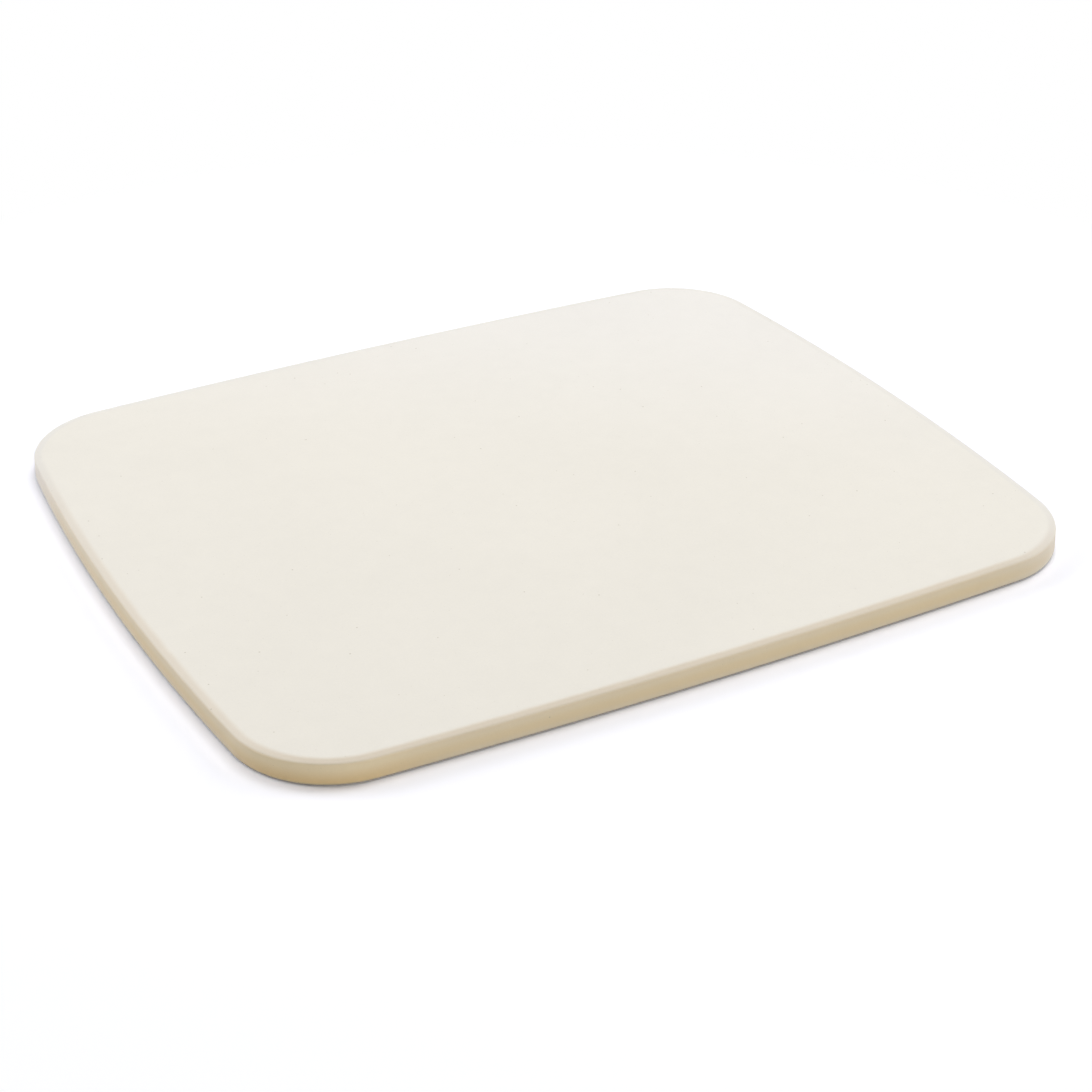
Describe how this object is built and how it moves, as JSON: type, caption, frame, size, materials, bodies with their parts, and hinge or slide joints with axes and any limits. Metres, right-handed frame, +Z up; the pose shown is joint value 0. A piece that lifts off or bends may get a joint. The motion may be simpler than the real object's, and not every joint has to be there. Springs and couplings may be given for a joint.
{
  "type": "baking stone",
  "caption": "Flat rectangular ceramic baking stone with round corners, gently swelling sides and a softened edge, for baking flat breads in an oven or on a grill.",
  "frame": {"origin": "middle of the underside, on the surface that the stone rests on", "axes": "+X along the long sides, +Y along the short sides, +Z up through the thickness, out of the baking face"},
  "size_m": [0.3808, 0.3208, 0.01],
  "materials": {
    "fired_ceramic": "matte"
  },
  "bodies": {
    "root": {"baking_stone": "fired_ceramic"}
  },
  "joints": []
}
